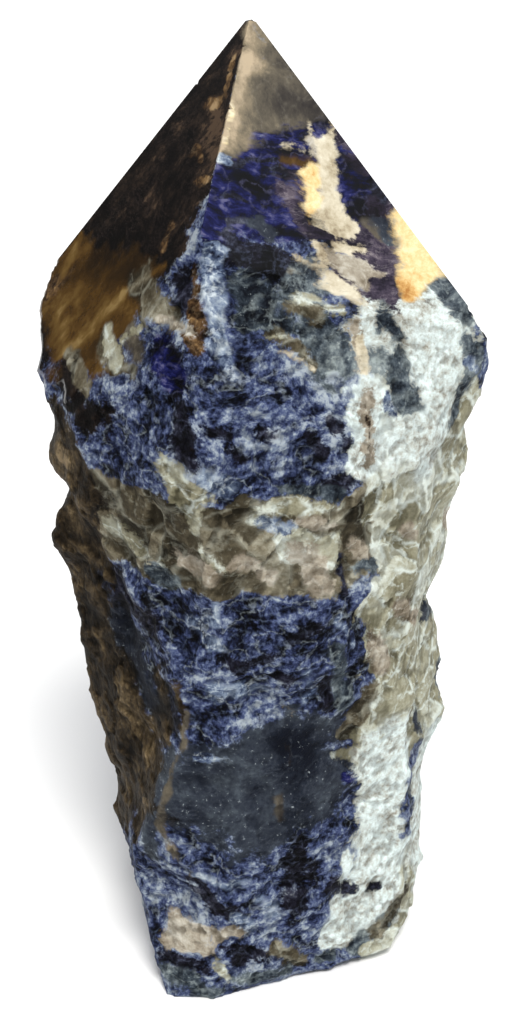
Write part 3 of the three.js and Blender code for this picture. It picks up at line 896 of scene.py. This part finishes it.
def setShading(mesh, polished):
    # smooth all over, with sharp edges only where two polished faces meet
    mesh.polygons.foreach_set("use_smooth", np.ones(len(mesh.polygons), bool))
    mesh.set_sharp_from_angle(angle=math.radians(stone["sharpAngle"]))
    sharp = np.empty(len(mesh.edges), bool)
    mesh.edges.foreach_get("use_edge_sharp", sharp)
    mesh.edges.foreach_set("use_edge_sharp", sharp & polished[readEdges(mesh)].all(axis=1))


def setColour(mesh, name, columns):
    data = np.ones((len(mesh.vertices), 4))
    for i, column in enumerate(columns):
        data[:, i] = column
    mesh.color_attributes.new(name, "FLOAT_COLOR", "POINT").data.foreach_set("color", data.ravel())


def attributeRows():
    # the masks go three to an attribute
    names = paintedOver + ["polish", "standing", "shade"]
    return [names[i:i + 3] for i in range(0, len(names), 3)]


# What tears the rims of the patches, and what bends the patterns inside them: how far each noise
# moves a point and how large it is, in millimetres, and a shift that sets it apart.
swirls = [(1.1, 8.0, 2.3), (0.8, 3.2, 9.1), (0.4, 1.4, 4.4)]
bends = [(1.2, 9.0, 6.1), (0.2, 2.6, 8.8)]

# Wear and painted shade: how far an edge stands out when it is fully worn, in millimetres, and how
# much the height and the wear of a place count. Worn edges come out paler, and creases and low
# places darker, which is painted shade.
wearAndCreaseShade = {"fullAt": 0.12, "heightShare": 0.45, "edgeShare": 0.25, "edgeTone": 0.1}


def makeStone():
    noise.seed_set(stone["seed"])
    obj, mesh = fineCopy(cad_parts[stone["node"]])
    print("stone mesh:", len(mesh.vertices), "points")
    points = readPoints(mesh)
    swirl = sum(far * vectorField(points, size, shift) for far, size, shift in swirls)
    bent = sum((far * vectorField(points, size, shift) for far, size, shift in bends), points)
    weights, shade = mineralWeights(mesh, points, swirl)
    print("minerals placed")
    moved, height, tone = roughen(mesh, points, bent, weights)
    moved, outside = grindFlat(moved)
    writePoints(mesh, moved)
    fields = layerMasks(weights)
    fields["polish"] = smoothStep(*stone["polishRim"], outside.max(axis=1))
    setShading(mesh, fields["polish"] > 0.5)
    print("break surface made")
    dull = 1 - fields["polish"]
    edgesAndCreases = np.clip(sharpness(mesh, moved) / wearAndCreaseShade["fullAt"], -1, 1)
    # painted shade: the material darkens where standing is low, and the shade field makes creases darker
    # and worn edges paler
    standing = wearAndCreaseShade["heightShare"] * height + wearAndCreaseShade["edgeShare"] * edgesAndCreases
    fields["standing"] = np.clip(0.5 + dull * standing, 0, 1)
    fields["shade"] = 0.5 + shade + dull * (tone + wearAndCreaseShade["edgeTone"] * edgesAndCreases)
    for i, row in enumerate(attributeRows()):
        setColour(mesh, f"masks{i}", [fields[name] for name in row])
    flow = mesh.attributes.new("flow", "FLOAT_VECTOR", "POINT")  # where the patterns are looked up
    flow.data.foreach_set("vector", bent.ravel())
    obj.vertex_groups.clear()
    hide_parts(stone["node"])
    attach(obj, "root")
    print("stone finished:", sum(len(p.vertices) - 2 for p in mesh.polygons), "triangles")
    return obj


def addNode(tree, kind, inputs=None, **settings):
    node = tree.nodes.new(kind)
    for name, value in settings.items():
        setattr(node, name, value)
    for key, value in (inputs or {}).items():
        if hasattr(value, "is_output"):
            tree.links.new(value, node.inputs[key])
        else:
            node.inputs[key].default_value = value
    return node


def maths(tree, operation, a, b=0.0, c=0.0):
    return addNode(tree, "ShaderNodeMath", {0: a, 1: b, 2: c}, operation=operation).outputs[0]


def mixColour(tree, share, a, b, blend="MIX"):
    node = addNode(tree, "ShaderNodeMix", {0: share, 6: a, 7: b}, data_type="RGBA", blend_type=blend)
    return node.outputs[2]


def band(tree, value, low, high, to=(0.0, 1.0)):
    # 0 to 1 between two levels of a value
    return addNode(tree, "ShaderNodeMapRange", {0: value, 1: low, 2: high, 3: to[0], 4: to[1]},
                   interpolation_type="SMOOTHSTEP").outputs[0]


def weighed(tree, fields, shares, value=0.0):
    # a sum of fields, each with its share
    for field, share in shares.items():
        value = maths(tree, "MULTIPLY_ADD", fields[field], share, value)
    return value


def paintColour(red, green, blue):
    # from a colour as screens count it, 0 to 255, to the linear one that the nodes take
    return (*(((c / 255 + 0.055) / 1.055) ** 2.4 for c in (red, green, blue)), 1)


def ramp(tree, value, colours):
    node = addNode(tree, "ShaderNodeValToRGB", {0: value})
    elements = node.color_ramp.elements
    while len(elements) < len(colours):
        elements.new(0.5)
    for i, colour in enumerate(colours):
        elements[i].position = i / (len(colours) - 1)
        elements[i].color = paintColour(*colour)
    return node.outputs["Color"]


# Where the patterns are looked up: how the place is bent first (how many bends to a millimetre and
# how far, or None), how far the x direction of the streaks drops and how far it is turned in plan, in
# degrees, and how many times longer the pattern is along x, y and z.
placings = {
    "even": (None, 25, 35, (1, 1, 1)),
    "rolled": ((0.25, 3.0), 0, 0, (1, 1, 1)),
    "crumpled": ((0.6, 1.0), 4, 35, (1.4, 1.4, 1)),
    "slanted": ((0.25, 1.6), 12, 0, (4.5, 2, 1)),
    "rising": ((0.25, 1.6), -42, 0, (4, 2, 1)),
    "upright": ((0.25, 1.2), 0, 35, (1, 1, 6)),
    "faceted": ((0.35, 1.3), -14, 0, (1.3, 1.1, 0.9)),
}

# The noises: which placing, how many to a millimetre, detail, roughness, and the gain that spreads
# them over about 0 to 1.
noises = {
    "blotch": ("rolled", 0.16, 4.0, 0.6, 3.0),
    "mottle": ("crumpled", 0.5, 5.0, 0.62, 3.0),
    "fine": ("even", 1.5, 5.0, 0.7, 2.8),
    "slant": ("slanted", 0.6, 6.0, 0.64, 3.0),
    "rise": ("rising", 0.55, 6.0, 0.66, 3.0),
    "fibre": ("upright", 0.7, 6.0, 0.66, 3.0),
}

# The thin marks. A hair or wisp is the middle line of a noise, and a net or rim the edge between two
# cells: which placing, how many to a millimetre, how wide, and the field that breaks it up with the
# levels between which it does.
thinNoises = {
    "hairs": ("slanted", 0.9, 4.0, 0.6, 0.03, ("blotch", 0.3, 0.7)),
    "wisps": ("crumpled", 0.26, 2.5, 0.5, 0.035, ("fine", 0.1, 0.8)),
}
cellEdges = {
    "net": ("crumpled", 0.62, 0.13, ("fine", 0.2, 0.9)),
    "rims": ("faceted", 0.18, 0.1, ("mottle", 0.2, 0.7)),
}
speckLevels = (0.88, 1.02)  # of the fine noise


def noiseTexture(tree, place, scale, detail, rough):
    return addNode(tree, "ShaderNodeTexNoise",
                   {"Vector": place, "Scale": scale, "Detail": detail, "Roughness": rough})


def cellTexture(tree, place, scale, feature):
    return addNode(tree, "ShaderNodeTexVoronoi", {"Vector": place, "Scale": scale}, feature=feature)


def placed(tree, place, bend, fall, turn, lengths):
    if bend:
        scale, far = bend
        away = noiseTexture(tree, place, scale, 2.0, 0.6).outputs["Color"]
        away = addNode(tree, "ShaderNodeVectorMath", {0: away, 1: (0.5, 0.5, 0.5)},
                       operation="SUBTRACT").outputs[0]
        place = addNode(tree, "ShaderNodeVectorMath", {0: away, 1: (far, far, far), 2: place},
                        operation="MULTIPLY_ADD").outputs[0]
    angles = (0, math.radians(fall), math.radians(turn))
    return addNode(tree, "ShaderNodeMapping", {"Vector": place, "Rotation": angles, "Scale": lengths},
                   vector_type="TEXTURE").outputs[0]


def sharedFields(tree, place, shade):
    # the few fields that all the minerals are made from, each about 0 to 1, and the shade about 0
    places = {name: placed(tree, place, *placing) for name, placing in placings.items()}
    fields = {"shade": maths(tree, "SUBTRACT", shade, 0.5)}

    def brokenUp(value, breaker):
        field, low, high = breaker
        return maths(tree, "MULTIPLY", value, band(tree, fields[field], low, high))

    for name, (placing, scale, detail, rough, gain) in noises.items():
        value = noiseTexture(tree, places[placing], scale, detail, rough).outputs["Fac"]
        fields[name] = maths(tree, "MULTIPLY_ADD", value, gain, 0.5 - 0.5 * gain)
    for name, (placing, scale, detail, rough, width, breaker) in thinNoises.items():
        value = noiseTexture(tree, places[placing], scale, detail, rough).outputs["Fac"]
        away = maths(tree, "ABSOLUTE", maths(tree, "SUBTRACT", value, 0.5))
        fields[name] = brokenUp(band(tree, away, width, 0.0), breaker)
    for name, (placing, scale, width, breaker) in cellEdges.items():
        away = cellTexture(tree, places[placing], scale, "DISTANCE_TO_EDGE").outputs["Distance"]
        fields[name] = brokenUp(band(tree, away, width, 0.0), breaker)
    placing, scale = cellEdges["rims"][:2]  # the flakes are the cells that the rims run round
    flakes = cellTexture(tree, places[placing], scale, "F1").outputs["Color"]
    fields["flakes"] = addNode(tree, "ShaderNodeSeparateColor", {0: flakes}).outputs[0]
    fields["specks"] = band(tree, fields["fine"], *speckLevels)
    return fields


def mineralColour(tree, look, fields):
    # the mix is held about the middle of the ramp, whatever its parts come to
    total = 0.5 * sum(look["mix"].values())
    value = maths(tree, "ADD", fields["shade"], 0.5 - total)
    colour = ramp(tree, weighed(tree, fields, look["mix"], value), look["colours"])
    for mark, amount, tint in look["marks"]:
        shown = maths(tree, "MULTIPLY", fields[mark], amount)
        colour = mixColour(tree, shown, colour, paintColour(*tint))
    return colour


# The finish, broken and polished, what tears the rims where two minerals meet, and the painted
# shade of the hollows.
finish = {
    "polishLevels": (0.35, 0.75),
    "roughness": (0.5, 0.2),  # broken, polished
    "specular": 0.04,
    "coat": 0.4,
    "coatRoughness": 0.06,
    "coatIndex": 1.48,
    "grainHeight": 0.2,
    "grainStrength": 0.7,
    "brokenRims": {"mottle": 0.5, "fine": 0.3, "flakes": 0.2},
    "polishedRims": {"slant": 0.7, "fine": 0.3},
    "rimLevels": (0.1, 0.9),
    "shownLevels": (0.2, 0.8),
    "hollowShadeLevels": (0.62, 0.3),  # painted shade: hollows are darker from the first of these to the second
    "hollowShadeShare": 0.5,
    "hollowShadeColour": (0.2, 0.2, 0.2),
}


def stoneMaterial():
    material = bpy.data.materials.new("sodalite")
    material.use_nodes = True
    tree = material.node_tree
    tree.nodes.clear()
    place = addNode(tree, "ShaderNodeAttribute", attribute_name="flow").outputs["Vector"]
    masks = {}
    for i, names in enumerate(attributeRows()):
        layer = addNode(tree, "ShaderNodeAttribute", attribute_name=f"masks{i}").outputs["Color"]
        split = addNode(tree, "ShaderNodeSeparateColor", {0: layer})
        masks.update({name: split.outputs[j] for j, name in enumerate(names)})
    fields = sharedFields(tree, place, masks["shade"])

    polish = band(tree, masks["polish"], *finish["polishLevels"])
    broken = weighed(tree, fields, finish["brokenRims"])
    combed = weighed(tree, fields, finish["polishedRims"])
    ragged = addNode(tree, "ShaderNodeMix", {0: polish, 2: broken, 3: combed}, clamp_factor=True)
    ragged = band(tree, ragged.outputs[0], *finish["rimLevels"])
    colour = mineralColour(tree, minerals["web"], fields)
    for name in paintedOver:
        torn = minerals[name].get("torn", 1.0)
        over = maths(tree, "MULTIPLY", masks[name], 1 + torn)
        over = maths(tree, "MULTIPLY_ADD", ragged, -torn, over)
        shown = band(tree, over, *finish["shownLevels"])
        colour = mixColour(tree, shown, colour, mineralColour(tree, minerals[name], fields))

    # painted shade: low and creased places of the break surface are darkened
    hollowShade = band(tree, masks["standing"], *finish["hollowShadeLevels"])
    hollowShade = maths(tree, "MULTIPLY", hollowShade, finish["hollowShadeShare"])
    colour = mixColour(tree, hollowShade, colour, (*finish["hollowShadeColour"], 1), "MULTIPLY")
    height = maths(tree, "MULTIPLY", fields["fine"], maths(tree, "SUBTRACT", 1.0, polish))
    bump = addNode(tree, "ShaderNodeBump", {"Distance": finish["grainHeight"] * mm,
                                            "Strength": finish["grainStrength"], "Height": height})
    shader = addNode(tree, "ShaderNodeBsdfPrincipled", {
        "Base Color": colour,
        "Roughness": band(tree, polish, 0.0, 1.0, finish["roughness"]),
        "Normal": bump.outputs[0],
        "Specular IOR Level": finish["specular"],
        "Coat Weight": maths(tree, "MULTIPLY", polish, finish["coat"]),
        "Coat Roughness": finish["coatRoughness"],
        "Coat IOR": finish["coatIndex"],
    })
    addNode(tree, "ShaderNodeOutputMaterial", {"Surface": shader.outputs[0]})
    return material


# A wide matt floor.
floorLook = {"halfWidth": 3.0, "colour": (0.9, 0.9, 0.9), "roughness": 0.9, "specular": 0.0}


def makeFloor():
    bm = bmesh.new()
    bmesh.ops.create_grid(bm, x_segments=1, y_segments=1, size=floorLook["halfWidth"])
    mesh = bpy.data.meshes.new("floor")
    bm.to_mesh(mesh)
    bm.free()
    floor = bpy.data.objects.new("floor", mesh)
    bpy.context.collection.objects.link(floor)
    material = bpy.data.materials.new("paleFloor")
    material.use_nodes = True
    shader = material.node_tree.nodes["Principled BSDF"]
    shader.inputs["Base Color"].default_value = (*floorLook["colour"], 1)
    shader.inputs["Roughness"].default_value = floorLook["roughness"]
    shader.inputs["Specular IOR Level"].default_value = floorLook["specular"]
    mesh.materials.append(material)


# The light: a soft sun from the right, over the camera, in a room that is brighter on the right. The
# camera itself sees a plain white backdrop, which the floor runs into.
light = {
    "sunTurn": 10,  # degrees to the right of the camera
    "sunHeight": 55,
    "sunWidth": 20,
    "sunStrength": 3.1,
    "sunColour": (1.0, 0.985, 0.955),
    "roomLeft": (0.08, 0.075, 0.07),
    "roomRight": (0.40, 0.43, 0.46),
    "roomTop": (0.85, 0.86, 0.88),
    "sideBlend": (-0.7, 0.7),
    "topBlend": (0.1, 0.9),
    "backdrop": (1, 1, 1),
}


def makeLights():
    data = bpy.data.lights.new("sun", "SUN")
    data.energy = light["sunStrength"]
    data.color = light["sunColour"]
    data.angle = math.radians(light["sunWidth"])
    sun = bpy.data.objects.new("sun", data)
    turn, height = math.radians(light["sunTurn"]), math.radians(light["sunHeight"])
    across = math.cos(height)
    away = Vector((math.sin(turn) * across, -math.cos(turn) * across, math.sin(height)))
    sun.rotation_euler = (-away).to_track_quat("-Z", "Y").to_euler()
    sun.location = away
    bpy.context.collection.objects.link(sun)
    world = bpy.data.worlds.new("room")
    world.use_nodes = True
    tree = world.node_tree
    direction = tree.nodes.new("ShaderNodeTexCoord").outputs["Generated"]
    direction = addNode(tree, "ShaderNodeSeparateXYZ", {0: direction})
    side = band(tree, direction.outputs["X"], *light["sideBlend"])
    up = band(tree, direction.outputs["Z"], *light["topBlend"])
    colour = mixColour(tree, side, (*light["roomLeft"], 1), (*light["roomRight"], 1))
    colour = mixColour(tree, up, colour, (*light["roomTop"], 1))
    seen = tree.nodes.new("ShaderNodeLightPath").outputs["Is Camera Ray"]
    colour = mixColour(tree, seen, colour, (*light["backdrop"], 1))
    tree.links.new(colour, tree.nodes["Background"].inputs["Color"])
    bpy.context.scene.world = world


# The camera: its place in millimetres, how far it looks down in degrees, and its focal length and the
# picture's height in pixels.
cameraSetting = {
    "place": (1.147, -279.38, 190.0),
    "pitch": 22.88,
    "focal": 1868.8,
    "pictureHeight": 1024,
    "sensorHeight": 36,
    "clipStart": 0.01,
}


def makeCamera():
    data = bpy.data.cameras.new("camera")
    data.sensor_fit = "VERTICAL"
    data.sensor_height = cameraSetting["sensorHeight"]
    data.lens = cameraSetting["focal"] / cameraSetting["pictureHeight"] * data.sensor_height
    data.clip_start = cameraSetting["clipStart"]
    camera = bpy.data.objects.new("camera", data)
    camera.location = Vector(cameraSetting["place"]) * mm
    camera.rotation_euler = (math.radians(90 - cameraSetting["pitch"]), 0, 0)
    bpy.context.collection.objects.link(camera)
    bpy.context.scene.camera = camera


stoneObject = makeStone()
stoneObject.data.materials.append(stoneMaterial())
makeFloor()
makeLights()
makeCamera()
bpy.context.scene.view_settings.view_transform = "Standard"
print("scene made")
